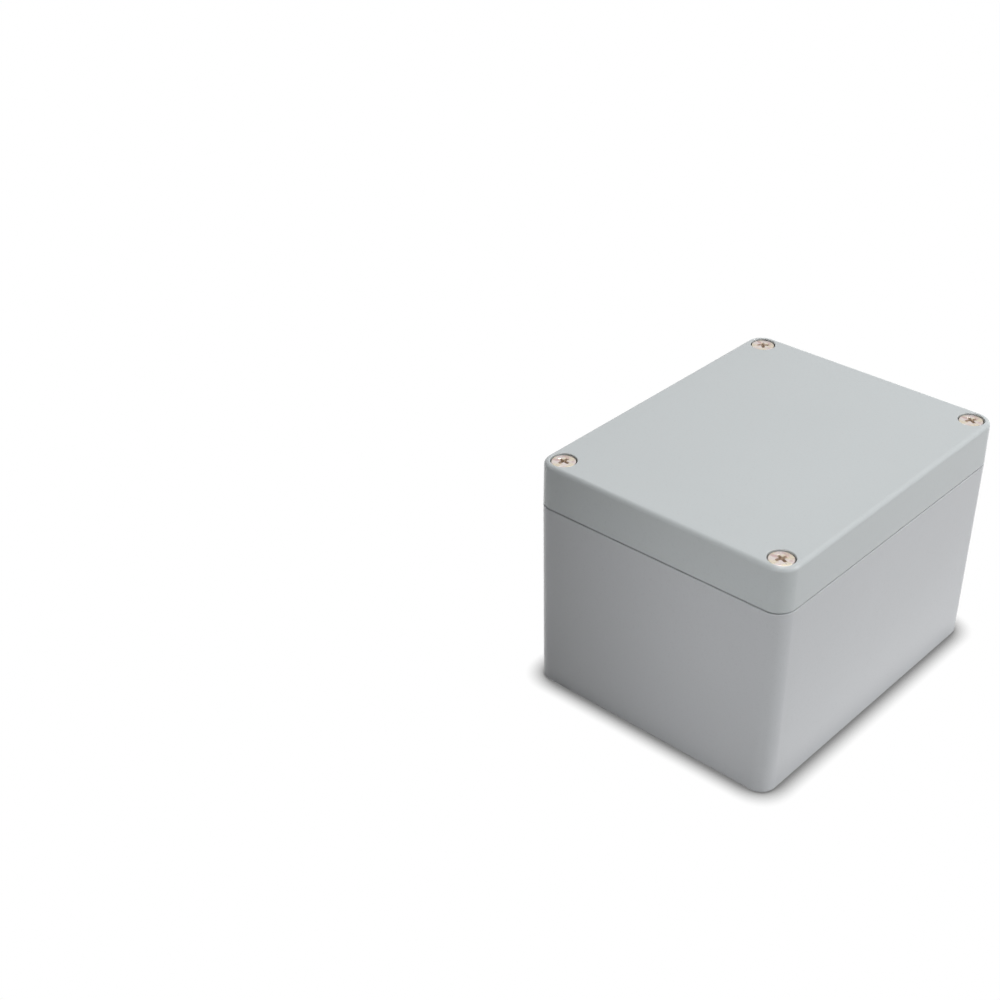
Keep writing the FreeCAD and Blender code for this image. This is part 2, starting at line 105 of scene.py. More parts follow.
# How fine the patterns of the finishes are, in grains to the metre, and how deep.
PLASTIC_FLOW = 22
PLASTIC_RIPPLE = 160
PLASTIC_GRAIN = 1400
PLASTIC_RELIEF = 0.12 * MILLIMETRE
PLATING_BLOOM = 420
PLATING_STAINS = 700
PLATING_RELIEF = 0.06 * MILLIMETRE
BRASS_TARNISH = 180
BRASS_MARKS = 900
BRASS_RELIEF = 0.05 * MILLIMETRE
RUBBER_DUST = 60
RUBBER_GRAIN = 2200
RUBBER_RELIEF = 0.08 * MILLIMETRE
# How many streaks to a radian round a screw's axis; in colour they are painted radial sheen.
PLATING_MARKS_AND_SHEEN = 9
# How dark and how light a pattern makes its colour.
FLOW_TONES = (0.97, 1.03)
TARNISH_TONES = (0.8, 1.1)
DUST_TONES = (0.8, 1.5)
# Where a pattern starts to show and how strong it gets, as the stops of a ramp.
SPECK_STOPS = ((0.3, 0.9), (0.42, 1))
BLOOM_STOPS = ((0.4, 0), (0.6, 1))
PAINTED_SHEEN_STOPS = ((0.5, 0), (0.75, 0.6))
STAIN_STOPS = ((0.5, 0), (0.7, 0.8))

# The photographer's camera and the studio.
EYE = (0.23839, -0.37937, 0.33363)
AIM = (-0.081498, -0.03376, 0.04)
ROLL = math.radians(0.5058)
LENS = 60.078
SENSOR = 36
MIDDLE = (0, 0, LID_TOP / 2)
FLOOR_HALF = 1.5
SHADOW_REACH = 0.0062
SHADOW_RAYS = 16
# How much of the sky a point of the floor sees right beside the box.
OPEN_BESIDE_BOX = 0.5
SPOT_SIZE = 0.08
# Soft boxes by name: where each stands, its width and its power in watts.
SOFT_BOXES = {
    "Key": ((0.82, 0.51, 0.71), 0.2, 4.4),
    "Overhead": ((0, 0.2, 1.2), 0.6, 4.2),
}
# Spots by name: where each stands, where it points, its cone in degrees and its power.
SPOTS = {
    "Corner": ((0.25, -1.0, 0.12), (0.05, -0.0575, 0.015), 9.5, 17.6),
    "Upper": ((0.1, -1.0, 0.4), (0.03, -0.0575, 0.08), 11, 17.1),
    "Low": ((1.0, 0.05, 0.06), (0.045, 0.01, -0.165), 21.5, 26),
}
# The light from all round: where it is brightest, its level at right angles to that, and how
# much more there is at its brightest.
GLOW_FROM = (0.035, 0.66, -0.75)
GLOW_MIDDLE = 0.99
GLOW_SLOPE = 1.45


def axis_of(node):
    """The middle of a CAD node's box, seen from above."""
    low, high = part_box(node)
    return (low.x + high.x) / 2, (low.y + high.y) / 2


SCREW_AXES = {corner: axis_of(f"lid_screw_{corner}") for corner in CORNERS}
SCREW_LOW, SCREW_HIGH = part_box("lid_screw_back_right")
INSERT_LOW, INSERT_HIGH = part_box("insert_back_right")
POST_X, POST_Y = SCREW_AXES["back_right"]
HEAD_RADIUS = SCREW_HIGH.x - POST_X
INSERT_HALF = INSERT_HIGH.x - POST_X


def length(name, millimetres, description):
    """A length that a user may change."""
    return FloatProperty(
        name=name,
        description=description,
        default=millimetres * MILLIMETRE,
        unit="LENGTH",
        precision=5,
    )


def share(name, value, description):
    """A number from 0 to 1 that a user may change."""
    return FloatProperty(
        name=name, description=description, default=value, min=0, max=1, subtype="FACTOR"
    )


def colour(name, value, description):
    """A colour that a user may change."""
    return FloatVectorProperty(
        name=name, description=description, default=value, size=3, min=0, max=1, subtype="COLOR"
    )


class ShellSizes(bpy.types.PropertyGroup):
    """Sizes of the two moulded shells."""

    corner_radius: length("Corner radius", 6, "Radius of the upright corners")
    draft: FloatProperty(
        name="Draft",
        description="Lean of the outer walls",
        default=math.radians(0.5),
        subtype="ANGLE",
    )
    wall: length("Wall", 3, "Side walls of the base")
    floor: length("Floor", 3, "Floor of the base")
    roof: length("Roof", 3, "Top of the lid")
    top_rounding: length("Top rounding", 1.4, "Radius round the lid's top edge")
    bottom_rounding: length("Bottom rounding", 1, "Radius round the base's bottom edge")
    seam_gap: length("Seam gap", 0.35, "Height of the gap between lid and base")
    seam_rounding: length("Seam rounding", 0.32, "Radius on the two edges of the seam")
    floor_rounding: length("Floor rounding", 1.2, "Radius where the walls meet the floor inside")
    roof_rounding: length("Roof rounding", 0.8, "Radius where the lid's walls meet its roof inside")
    fine_rounding: length("Fine rounding", 0.2, "Radius on ribs, bosses and the mouths of holes")
    tongue: length("Tongue", 1.4, "Thickness of the tongue on the base's rim")
    groove_space: length("Groove space", 0.25, "Space on each side of the tongue in the groove")
    lid_rib: length("Lid rib", 1.2, "Thickness of the rib inside the lid's groove")
    inner_blend: length("Inner blend", 1.2, "Radius beside a corner post, inside the lid")
    column_wall: length("Column wall", 1.4, "Wall of a corner column beside its insert")
    insert_space: length("Insert space", 0.02, "Space round an insert in its column")
    insert_bottom: length("Insert bottom", 0.5, "Space below an insert in its column")
    seal_space: length("Seal space", 0.1, "Space on each side of the seal in the groove")
    seal_rounding: length("Seal rounding", 0.45, "Radius on the edges of the seal")
    fixing_radius: length("Fixing hole", 1.8, "Radius of the fixing holes in the underside")
    fixing_depth: length("Fixing depth", 12, "Depth of the fixing holes in the underside")
    boss_radius: length("Boss", 3.25, "Radius of a circuit board boss")
    boss_height: length("Boss height", 6, "Height of a boss above the floor")
    boss_foot: length("Boss foot", 0.5, "Radius where a boss meets the floor")
    boss_hole: length("Boss hole", 1.35, "Radius of the hole in a boss")
    boss_hole_depth: length("Boss hole depth", 7.5, "Depth of the hole in a boss")
    boss_inset_wide: length("Boss inset, wide", 12.5, "Bosses, from the outside across the box")
    boss_inset_long: length("Boss inset, long", 17.5, "Bosses, from the outside along the box")
    guide_depth: length("Guide depth", 2, "How far a card guide stands out from the wall")
    guide_rib: length("Guide rib", 1.5, "Thickness of one rib of a card guide")
    guide_slot: length("Guide slot", 1.9, "Slot of a card guide")
    guide_drop: length("Guide drop", 8, "Top of the card guides below the seam")
    guide_pitch: length("Guide pitch", 25, "From one card guide to the next")
    guides_long: IntProperty(
        name="Guides, long walls", description="Card guides on each long wall", default=3, min=1
    )
    guides_wide: IntProperty(
        name="Guides, short walls", description="Card guides on each short wall", default=2, min=1
    )


class FastenerSizes(bpy.types.PropertyGroup):
    """Sizes of the lid screws, their wells and the brass inserts."""

    well_space: length("Well space", 0.32, "Space round a screw head in its well")
    head_height: length("Head height", 2.8, "Screw head, from its seat to its top")
    head_rounding: length("Head rounding", 0.3, "Radius round the top of a screw head")
    head_crown: length("Head crown", 0.1, "How far the middle of a head rises above its rim")
    shank_radius: length("Shank", 1.95, "Radius of the screw over its thread")
    shank_space: length("Shank space", 0.3, "Space round the screw in the lid")
    tip_chamfer: length("Tip chamfer", 0.5, "Chamfer on the screw's end")
    thread_pitch: length("Thread pitch", 0.7, "Pitch of the thread")
    thread_depth: length("Thread depth", 0.42, "Depth of the thread")
    recess_span: length("Recess span", 4.1, "Cross recess, from tip to tip at its mouth")
    recess_wing: length("Recess wing", 1.05, "Width of a wing of the cross recess at its mouth")
    recess_depth: length("Recess depth", 1.7, "Depth of the cross recess")
    recess_end: share("Recess end", 0.45, "The cross at its bottom, as a share of its mouth")
    insert_bore: length("Insert bore", 2.05, "Radius inside an insert's thread")
    insert_waist: length("Insert waist", 0.35, "Depth of the groove round an insert's middle")
    insert_band: length("Insert band", 2.8, "Height of an insert's bands beside its groove")
    turns: FloatVectorProperty(
        name="Turns",
        description="How far each screw is turned, from the front left one anticlockwise",
        default=[math.radians(turn) for turn in (85, 69, 58, 38)],
        size=4,
        unit="ROTATION",
    )


class Finishes(bpy.types.PropertyGroup):
    """Colours of the pieces and of the floor."""

    base_plastic: colour("Base plastic", (0.569, 0.585, 0.606), "Light grey ABS of the base")
    lid_plastic: colour("Lid plastic", (0.563, 0.597, 0.606), "ABS of the lid, a little greener")
    plastic_roughness: share("Plastic roughness", 0.14, "Roughness of the moulded plastic")
    screw: colour("Screw", (0.7, 0.64, 0.61), "Plated steel of the screws")
    straw: colour("Straw", (0.68, 0.62, 0.49), "Yellow bloom of the plating")
    # This colour serves the real stains and also the painted radial sheen.
    stain_and_sheen: colour("Stain", (0.5, 0.34, 0.34), "Violet-brown stains of the plating")
    # The recess colour is painted shade, laid deep in the screws' cross recess.
    recess: colour("Recess", (0.55, 0.44, 0.34), "Dirt in the cross recess of the screws")
    brass: colour("Brass", (0.8, 0.6, 0.3), "Brass of the inserts")
    rubber: colour("Rubber", (0.035, 0.036, 0.038), "Rubber of the seal")
    floor: colour("Floor", (0.2, 0.2, 0.2), "Grey that the floor throws back on the box")
    floor_shadow: share("Floor shadow", 0.22, "Brightness of the floor right beside the box")


def turned(point, quarter):
    """A point after this many quarter turns about the origin."""
    cosine, sine = ((1, 0), (0, 1), (-1, 0), (0, -1))[quarter]
    return point[0] * cosine - point[1] * sine, point[0] * sine + point[1] * cosine


def arc(centre, radius, start, end, steps):
    """Points along an arc, with both its ends."""
    points = []
    for step in range(steps + 1):
        angle = start + (end - start) * step / steps
        points.append((centre[0] + radius * math.cos(angle), centre[1] + radius * math.sin(angle)))
    return points


def circle(centre, radius, steps=CIRCLE_STEPS):
    """Points round a circle."""
    return arc(centre, radius, 0, FULL_TURN, steps)[:-1]


def soften(before, corner, after, radius):
    """The arc that rounds a corner of a path, or the corner itself where it has no radius."""
    corner = Vector(corner)
    if not radius:
        return [tuple(corner)]
    inwards = (corner - Vector(before)).normalized()
    onwards = (Vector(after) - corner).normalized()
    turn = math.atan2(inwards.cross(onwards), inwards.dot(onwards))
    start = corner - inwards * radius * math.tan(abs(turn) / 2)
    spoke = Vector((inwards.y, -inwards.x)) * math.copysign(radius, turn)
    centre = start - spoke
    points = []
    for step in range(FILLET_STEPS + 1):
        swing = Matrix.Rotation(turn * step / FILLET_STEPS, 2)
        points.append(tuple(centre + swing @ spoke))
    return points


def profile(before, *path_and_after):
    """The points at the (across, up, radius) corners of a path; its ends only give directions."""
    path = (before, *path_and_after)
    points = []
    for last, corner, following in zip(path, path[1:], path[2:]):
        points += soften(last[:2], corner[:2], following[:2], corner[2])
    return points


def closed_profile(*path):
    """The points at the corners of a closed path."""
    return profile(path[-1], *path, path[0])


def box_outline(sizes, inset):
    """The outside of the box, this far inside its largest size."""
    radius = sizes.corner_radius
    points = []
    for quarter, (right, back) in enumerate(((1, 1), (-1, 1), (-1, -1), (1, -1))):
        centre = (right * (HALF_WIDTH - radius), back * (HALF_LENGTH - radius))
        start = quarter * QUARTER
        points += arc(centre, radius - inset, start, start + QUARTER, CORNER_STEPS)
    return points


def hexagon(centre, half, rounding):
    """A hexagon about a place, with two of its flats upright and its corners slightly round."""
    tip = half / math.cos(HALF_TURN / 6)
    corners = []
    for step in range(6):
        angle = step * HALF_TURN / 3 - HALF_TURN / 6
        x = centre[0] + tip * math.cos(angle)
        y = centre[1] + tip * math.sin(angle)
        corners.append((x, y, rounding))
    return closed_profile(*corners)


class SealLine:
    """The line that runs along the walls and bends inwards round each corner column.

    A parallel curve is named by how far it lies inside the tongue's outer edge. The
    walls may have more points, at the roots of the card guides' ribs.
    """

    def __init__(self, sizes, roots=((), ())):
        self.sizes = sizes
        self.roots = roots
        self.cavity = sizes.tongue + sizes.groove_space + sizes.lid_rib

    def outline(self, inset):
        """The points of one parallel curve."""
        sizes = self.sizes
        offset = sizes.wall - sizes.tongue + inset
        post = INSERT_HALF + sizes.column_wall + inset
        blend = sizes.inner_blend + self.cavity - inset
        walls = (HALF_WIDTH - offset, HALF_LENGTH - offset)
        posts = (POST_X, POST_Y)
        points = []
        for quarter in range(4):
            wall, side_wall = walls if quarter % 2 == 0 else walls[::-1]
            post_out, post_on = posts if quarter % 2 == 0 else posts[::-1]
            out = wall - blend - post_out
            side_out = side_wall - blend - post_on
            back = math.sqrt((post + blend) ** 2 - out**2)
            side_back = math.sqrt((post + blend) ** 2 - side_out**2)
            lead = math.atan2(back, -out)
            leave = math.atan2(side_out, -side_back)
            local = [(wall, root) for root in self.roots[quarter % 2]]
            local += arc((wall - blend, post_on - back), blend, 0, lead, BLEND_STEPS)
            local += arc((post_out, post_on), post, lead + HALF_TURN, leave, POST_STEPS)[1:-1]
            centre = (post_out - side_back, side_wall - blend)
            local += arc(centre, blend, leave - HALF_TURN, QUARTER, BLEND_STEPS)
            points += [turned(point, quarter) for point in local]
        return points

    def ribs(self):
        """The numbers of the segments where a rib stands on the wall."""
        numbers = set()
        start = 0
        for quarter in range(4):
            roots = len(self.roots[quarter % 2])
            numbers.update(range(start, start + roots, 2))
            start += roots + 2 * BLEND_STEPS + POST_STEPS + 1
        return numbers


class Skin:
    """A closed surface that is put together from level loops of points."""

    def __init__(self):
        self.mesh = bmesh.new()

    def loop(self, points, height):
        """The vertices of an outline at one height."""
        return [self.mesh.verts.new((x, y, height)) for x, y in points]

    def wall(self, lower, upper, left_out=()):
        """Quads between two loops with as many points, but for the segments left out."""
        for here in range(len(lower)):
            if here not in left_out:
                there = (here + 1) % len(lower)
                self.mesh.faces.new((lower[here], lower[there], upper[there], upper[here]))

    def stack(self, outline, path, start=None, left_out=()):
        """Loops of one outline along a path of insets and heights, with walls between them."""
        loops = [self.loop(outline(inset), height) for inset, height in path]
        joined = [start, *loops] if start else loops
        for lower, upper in zip(joined, joined[1:]):
            self.wall(lower, upper, left_out)
        return loops

    def sheet(self, outer, *holes):
        """A flat area inside a loop, but for the holes in it."""
        loops = [outer, *holes]
        flat = [[Vector((v.co.x, v.co.y, 0)) / MILLIMETRE for v in loop] for loop in loops]
        vertices = [v for loop in loops for v in loop]
        for triangle in tessellate_polygon(flat):
            self.mesh.faces.new([vertices[index] for index in triangle])

    def blind_hole(self, centre, path):
        """A round hole along a path of radii and heights, closed at its end; gives its mouth."""
        loops = self.stack(lambda radius: circle(centre, radius), path)
        self.mesh.faces.new(loops[-1])
        return loops[0]

    def finish(self, name, material):
        """The object, once the surface is closed and its normals point outwards."""
        open_edges = [edge for edge in self.mesh.edges if len(edge.link_faces) != 2]
        if open_edges:
            place = tuple(open_edges[0].verts[0].co)
            raise RuntimeError(f"{name}: {len(open_edges)} edges without two faces, one at {place}")
        bmesh.ops.recalc_face_normals(self.mesh, faces=self.mesh.faces[:])
        if self.mesh.calc_volume(signed=True) < 0:
            bmesh.ops.reverse_faces(self.mesh, faces=self.mesh.faces[:])
        return add_piece(name, self.mesh, material)


def add_piece(name, source, material):
    """An object from a closed mesh, smooth but for its sharp edges."""
    for face in source.faces:
        face.smooth = True
    for edge in source.edges:
        edge.smooth = edge.calc_face_angle(0) < SHARP_ANGLE
    mesh = bpy.data.meshes.new(name)
    source.to_mesh(mesh)
    source.free()
    mesh.materials.append(material)
    piece = bpy.data.objects.new(name, mesh)
    bpy.context.scene.collection.objects.link(piece)
    weighted = piece.modifiers.new("Flat faces lead", "WEIGHTED_NORMAL")
    weighted.keep_sharp = True
    weighted.weight = FLAT_FACE_WEIGHT
    return piece


def dress(piece, body, node):
    """Puts a piece in the place of its CAD node."""
    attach(piece, body)
    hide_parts(node)


class Wire:
    """An output socket that takes part in sums and products of values."""

    def __init__(self, graph, socket):
        self.graph = graph
        self.socket = socket

    def maths(self, operation, *values):
        """A Math node on this graph."""
        return self.graph.node("ShaderNodeMath", {"operation": operation}, dict(enumerate(values)))

    def __add__(self, other):
        return self.maths("ADD", self, other)

    def __rsub__(self, other):
        return self.maths("SUBTRACT", other, self)

    def __mul__(self, other):
        return self.maths("MULTIPLY", self, other)

    __radd__ = __add__
    __rmul__ = __mul__


class Graph:
    """The nodes of a material or of the world."""

    def __init__(self, owner, output="ShaderNodeOutputMaterial"):
        owner.use_nodes = True
        self.tree = owner.node_tree
        self.tree.nodes.clear()
        self.output = output

    def node(self, kind, settings=None, inputs=None, output=0):
        """Adds a node: its settings first, then the values or links of its sockets."""
        node = self.tree.nodes.new(kind)
        for setting, value in (settings or {}).items():
            if setting == "stops":
                self.set_stops(node.color_ramp, value)
            else:
                setattr(node, setting, value)
        for key, value in (inputs or {}).items():
            if isinstance(value, Wire):
                self.tree.links.new(value.socket, node.inputs[key])
            else:
                node.inputs[key].default_value = value
        return Wire(self, node.outputs[output])

    @staticmethod
    def set_stops(ramp, stops):
        """The stops of a ramp, as (place, grey) pairs from left to right."""
        while len(ramp.elements) < len(stops):
            ramp.elements.new(1)
        for element, (place, grey) in zip(ramp.elements, stops):
            element.position = place
            element.color = (grey, grey, grey, 1)

    def vectors(self, operation, *values, output=0):
        """A Vector Math node."""
        settings = {"operation": operation}
        return self.node("ShaderNodeVectorMath", settings, dict(enumerate(values)), output)

    def noise(self, where, scale, detail=2, roughness=0.5):
        """Values about 0.5 from a noise of this many grains to the metre."""
        settings = {"noise_dimensions": "3D", "normalize": True}
        inputs = {"Vector": where, "Scale": scale, "Detail": detail, "Roughness": roughness}
        return self.node("ShaderNodeTexNoise", settings, inputs)

    def ramp(self, value, *stops):
        """A value sent through a ramp of greys."""
        return self.node("ShaderNodeValToRGB", {"stops": stops}, {"Fac": value})

    def rise(self, value, start, end):
        """0 where a value is at its start, 1 where it is at its end, and even between them."""
        inputs = {"Value": value, "From Min": start, "From Max": end}
        return self.node("ShaderNodeMapRange", {"clamp": True}, inputs)

    def mix(self, factor, first, second, blend="MIX"):
        """A colour between two colours."""
        settings = {"data_type": "RGBA", "blend_type": blend}
        return self.node("ShaderNodeMix", settings, {0: factor, 6: first, 7: second}, output=2)

    def mix_shaders(self, factor, first, second):
        """A shader between two shaders."""
        return self.node("ShaderNodeMixShader", inputs={0: factor, 1: first, 2: second})

    def background(self, strength):
        """White light of this strength from the world."""
        inputs = {"Color": (1, 1, 1, 1), "Strength": strength}
        return self.node("ShaderNodeBackground", inputs=inputs)

    def bump(self, height, strength, distance):
        """A normal from a height."""
        inputs = {"Strength": strength, "Distance": distance, "Height": height}
        return self.node("ShaderNodeBump", inputs=inputs)

    def place(self):
        """Where a point lies on its object."""
        return self.node("ShaderNodeTexCoord", output="Object")

    def principled(self, inputs):
        """A surface's main shader."""
        return self.node("ShaderNodeBsdfPrincipled", inputs=inputs)

    def surface(self, shader):
        """Ends the graph at a material's or a world's output."""
        output = self.tree.nodes.new(self.output)
        self.tree.links.new(shader.socket, output.inputs["Surface"])


def tinted(base, factor):
    """A colour made lighter or darker, with its alpha."""
    return (*(min(part * factor, 1) for part in base), 1)


def tones(base, factors):
    """A colour once for each of some factors."""
    return [tinted(base, factor) for factor in factors]


def plastic_material(finishes, name, tone):
    """Moulded ABS with a fine grain, faint flow marks and an uneven sheen."""
    material = bpy.data.materials.new(name)
    graph = Graph(material)
    where = graph.place()
    flow = graph.noise(where, PLASTIC_FLOW, detail=3)
    grain = graph.noise(where, PLASTIC_GRAIN)
    ripple = graph.noise(where, PLASTIC_RIPPLE, detail=1)
    body = graph.mix(flow, *tones(tone, FLOW_TONES))
    specks = graph.ramp(grain, *SPECK_STOPS)
    body = graph.mix(0.35, body, specks, blend="MULTIPLY")
    # The noises are 0.5 on average, so on average this is the roughness that is set.
    sheen = finishes.plastic_roughness - 0.05 + 0.06 * flow + 0.04 * grain
    relief = graph.bump(grain + 2 * ripple, strength=0.12, distance=PLASTIC_RELIEF)
    inputs = {"Base Color": body, "Roughness": sheen, "Normal": relief}
    graph.surface(graph.principled(inputs))
    return material


def base_plastic(finishes):
    """The base's plastic."""
    return plastic_material(finishes, "Base ABS", finishes.base_plastic)


def lid_plastic(finishes):
    """The lid's plastic."""
    return plastic_material(finishes, "Lid ABS", finishes.lid_plastic)


def plated_material(finishes):
    """Plated steel with warm stains, painted radial sheen, turning marks and painted recess shade.
    """
    material = bpy.data.materials.new("Plated steel")
    graph = Graph(material)
    where = graph.place()
    flat = graph.vectors("MULTIPLY", where, (1, 1, 0))
    outwards = graph.vectors("NORMALIZE", flat)
    turning_marks_and_sheen = graph.noise(outwards, PLATING_MARKS_AND_SHEEN, detail=4, roughness=0.65)
    stains = graph.noise(where, PLATING_STAINS)
    bloom = graph.noise(where, PLATING_BLOOM, detail=1)
    height = graph.node("ShaderNodeSeparateXYZ", inputs={0: where}, output="Z")
    depth = bpy.context.scene.enclosure_fasteners.recess_depth
    below_top = graph.rise(height, *[SCREW_HIGH.z - part * depth for part in RECESS_SHADE_TOP])
    above_seat = graph.rise(height, *[SCREW_HIGH.z - part * depth for part in RECESS_SHADE_BOTTOM])
    across = graph.vectors("LENGTH", flat, output="Value")
    inside = graph.rise(across, *[part * HEAD_RADIUS for part in RECESS_SHADE_ACROSS])
    # Painted shade: deeper in the cross recess the screw turns darker, rougher and less metallic.
    recess_shade = below_top * above_seat * inside
    stain_and_sheen = tinted(finishes.stain_and_sheen, 1)
    straw = tinted(finishes.straw, 1)
    metal = graph.mix(graph.ramp(bloom, *BLOOM_STOPS), tinted(finishes.screw, 1), straw)
    # Painted radial sheen: sectors out from the axis darken towards the stain colour.
    metal = graph.mix(graph.ramp(turning_marks_and_sheen, *PAINTED_SHEEN_STOPS), metal, stain_and_sheen)
    metal = graph.mix(graph.ramp(stains, *STAIN_STOPS), metal, stain_and_sheen)
    metal = graph.mix(recess_shade, metal, tinted(finishes.recess, 1))
    marks = graph.bump(turning_marks_and_sheen + 0.5 * stains, strength=0.25, distance=PLATING_RELIEF)
    inputs = {
        "Base Color": metal,
        "Metallic": 1 - 0.8 * recess_shade,
        "Roughness": 0.16 + 0.3 * stains + 0.3 * recess_shade,
        "Normal": marks,
    }
    graph.surface(graph.principled(inputs))
    return material


def brass_material(finishes):
    """Turned brass, a little uneven."""
    material = bpy.data.materials.new("Brass")
    graph = Graph(material)
    where = graph.place()
    marks = graph.noise(where, BRASS_MARKS, detail=3)
    tarnish = graph.noise(where, BRASS_TARNISH)
    inputs = {
        "Base Color": graph.mix(tarnish, *tones(finishes.brass, TARNISH_TONES)),
        "Metallic": 1,
        "Roughness": 0.22 + 0.2 * marks,
        "Normal": graph.bump(marks, strength=0.2, distance=BRASS_RELIEF),
    }
    graph.surface(graph.principled(inputs))
    return material


def rubber_material(finishes):
    """Dull rubber with a fine grain and a little dust."""
    material = bpy.data.materials.new("Seal rubber")
    graph = Graph(material)
    where = graph.place()
    grain = graph.noise(where, RUBBER_GRAIN)
    dust = graph.noise(where, RUBBER_DUST, detail=3)
    inputs = {
        "Base Color": graph.mix(dust, *tones(finishes.rubber, DUST_TONES)),
        "Roughness": 0.6 + 0.2 * dust,
        "Normal": graph.bump(grain, strength=0.3, distance=RUBBER_RELIEF),
    }
    graph.surface(graph.principled(inputs))
    return material


def seen_directly(graph):
    """1 for rays from the camera, in reflections and through clear things, else 0."""
    camera = graph.node("ShaderNodeLightPath", output="Is Camera Ray")
    glossy = graph.node("ShaderNodeLightPath", output="Is Glossy Ray")
    through = graph.node("ShaderNodeLightPath", output="Is Transmission Ray")
    return camera + glossy + through


def floor_material(finishes):
    """White paper with a soft shadow where the box stands, and a grey bounce."""
    material = bpy.data.materials.new("Paper")
    graph = Graph(material)
    sky = graph.node(
        "ShaderNodeAmbientOcclusion", {"samples": SHADOW_RAYS}, {"Distance": SHADOW_REACH}, "AO"
    )
    shade = graph.ramp(sky, (OPEN_BESIDE_BOX, finishes.floor_shadow), (1, 1))
    paper = graph.node("ShaderNodeEmission", inputs={"Color": shade})
    bounce = graph.node("ShaderNodeBsdfDiffuse", inputs={"Color": tinted(finishes.floor, 1)})
    graph.surface(graph.mix_shaders(seen_directly(graph), bounce, paper))
    return material


def finish_of(name, make):
    """A material by its name, made the first time that it is asked for."""
    return bpy.data.materials.get(name) or make(bpy.context.scene.enclosure_finishes)


def guide_roots(sizes, count):
    """Where the ribs of a wall's card guides start and end along it."""
    roots = []
    for number in range(count):
        middle = (number - (count - 1) / 2) * sizes.guide_pitch
        near = sizes.guide_slot / 2
        far = near + sizes.guide_rib
        roots += [middle - far, middle - near, middle + near, middle + far]
    return tuple(roots)


def add_rib(skin, sizes, near, far):
    """One rib of a card guide, between two columns of the wall's vertices from its top down.

    Gives the vertices round its foot, for the floor's edge.
    """
    start, end = near[0].co.xy, far[0].co.xy
    along = (end - start).normalized()
    out = Vector((-along.y, along.x)) * sizes.guide_depth
    fine = sizes.fine_rounding
    tip = profile(start, (*(start + out), fine), (*(end + out), fine), end)
    crest = skin.loop(tip, near[0].co.z)
    foot = skin.loop(tip, near[-1].co.z)
    for here in range(len(tip) - 1):
        skin.mesh.faces.new((crest[here], crest[here + 1], foot[here + 1], foot[here]))
    skin.mesh.faces.new((*near, foot[0], crest[0]))
    skin.mesh.faces.new((*far, foot[-1], crest[-1]))
    skin.mesh.faces.new((near[0], *crest, far[0]))
    return foot


def build_base(sizes):
    """The deep lower shell with its tongue, columns, card guides and bosses."""
    skin = Skin()
    lean = SEAM * math.tan(sizes.draft)
    sides = profile(
        (HALF_WIDTH, 0),
        (lean, 0, sizes.bottom_rounding),
        (0, SEAM, sizes.seam_rounding),
        (HALF_WIDTH, SEAM),
    )
    outside = skin.stack(lambda inset: box_outline(sizes, inset), sides)
    mouths = []
    fine = sizes.fine_rounding
    for axis in SCREW_AXES.values():
        path = profile(
            (HALF_WIDTH, 0),
            (sizes.fixing_radius, 0, fine),
            (sizes.fixing_radius, sizes.fixing_depth, 0),
            (0, sizes.fixing_depth),
        )
        mouths.append(skin.blind_hole(axis, path))
    skin.sheet(outside[0], *mouths)

    guide_top = SEAM - sizes.guide_drop
    roots = (guide_roots(sizes, sizes.guides_long), guide_roots(sizes, sizes.guides_wide))
    line = SealLine(sizes, roots)
    over = profile(
        (-1, SEAM),
        (0, SEAM, 0),
        (0, TONGUE_TOP, sizes.fine_rounding),
        (sizes.tongue, TONGUE_TOP, sizes.fine_rounding),
        (sizes.tongue, guide_top, 0),
        (sizes.tongue, 0),
    )
    beside = profile(
        (sizes.tongue, guide_top),
        (sizes.tongue, sizes.floor, sizes.floor_rounding),
        (HALF_WIDTH, sizes.floor),
    )
    rim = skin.stack(line.outline, over)
    ribs = line.ribs()
    inside = skin.stack(line.outline, beside, start=rim[-1], left_out=ribs)
    seats = []
    bottom = INSERT_LOW.z - sizes.insert_bottom
    for axis in SCREW_AXES.values():
        half = INSERT_HALF + sizes.insert_space
        seat = profile(
            (-1, SEAM), (-fine, SEAM, 0), (0, SEAM - fine, 0), (0, bottom, 0), (1, bottom)
        )
        loops = skin.stack(lambda inset: hexagon(axis, half - inset, fine), seat)
        skin.mesh.faces.new(loops[-1])
        seats.append(loops[0])
    skin.sheet(outside[-1], rim[0], *seats)

    edge = []
    for number, corner in enumerate(inside[-1]):
        edge.append(corner)
        if number in ribs:
            columns = [[loop[at] for loop in (rim[-1], *inside)] for at in (number, number + 1)]
            edge += add_rib(skin, sizes, *columns)
    bosses = []
    top = sizes.floor + sizes.boss_height
    aside = HALF_WIDTH - sizes.boss_inset_wide
    along = HALF_LENGTH - sizes.boss_inset_long
    for right, back in ((-1, -1), (1, -1), (1, 1), (-1, 1)):
        path = profile(
            (HALF_WIDTH, sizes.floor),
            (sizes.boss_radius, sizes.floor, sizes.boss_foot),
            (sizes.boss_radius, top, sizes.fine_rounding),
            (sizes.boss_hole, top, sizes.fine_rounding),
            (sizes.boss_hole, top - sizes.boss_hole_depth, 0),
            (0, top - sizes.boss_hole_depth),
        )
        bosses.append(skin.blind_hole((right * aside, back * along), path))
    skin.sheet(edge, *bosses)
    return skin.finish("base_shell", finish_of("Base ABS", base_plastic))


